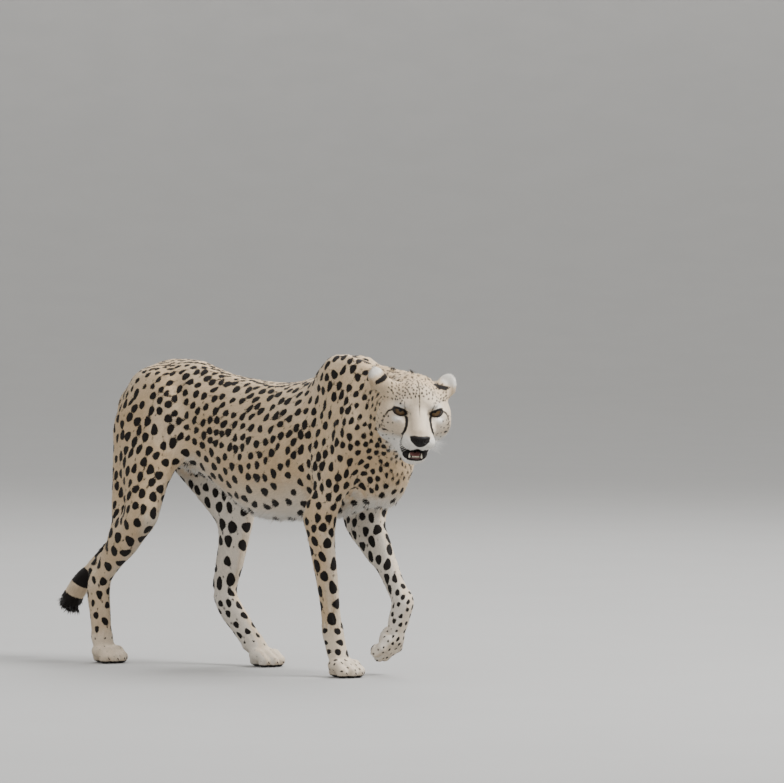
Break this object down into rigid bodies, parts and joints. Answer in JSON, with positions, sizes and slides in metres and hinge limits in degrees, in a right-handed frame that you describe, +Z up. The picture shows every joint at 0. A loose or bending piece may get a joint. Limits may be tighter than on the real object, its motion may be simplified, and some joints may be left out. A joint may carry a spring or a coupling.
{
  "type": "cheetah",
  "caption": "Life-size walking cheetah, head turned to its right and one forepaw lifted, as a still museum model that stands on the floor on its paws.",
  "frame": {"origin": "on the floor, at the centre of the bounding box seen from above", "axes": "+X towards the animal's front along its back, +Y to its left side, +Z up from the floor"},
  "size_m": [1.2608, 0.3232, 0.736],
  "materials": {
    "coat": "short fur, pale tawny with near-black spots and a paler belly",
    "eye": "wet gloss, amber with a round dark pupil",
    "nose": "fine-grained, slightly moist",
    "tooth": "smooth enamel",
    "tongue": "moist, finely rough"
  },
  "bodies": {
    "root": {"hips": "coat", "loin": "coat", "chest": "coat", "neck": "coat", "head": "coat", "ear_right": "coat", "ear_left": "coat", "tail_base": "coat", "tail_middle": "coat", "tail_tip": "coat", "thigh_right": "coat", "shank_right": "coat", "metatarsus_right": "coat", "hind_paw_right": "coat", "shoulder_right": "coat", "forearm_right": "coat", "fore_paw_right": "coat", "thigh_left": "coat", "shank_left": "coat", "metatarsus_left": "coat", "hind_paw_left": "coat", "shoulder_left": "coat", "forearm_left": "coat", "fore_paw_left": "coat", "eye_right": "eye", "eye_left": "eye", "nose": "nose", "teeth": "tooth", "tongue": "tongue"}
  },
  "joints": []
}
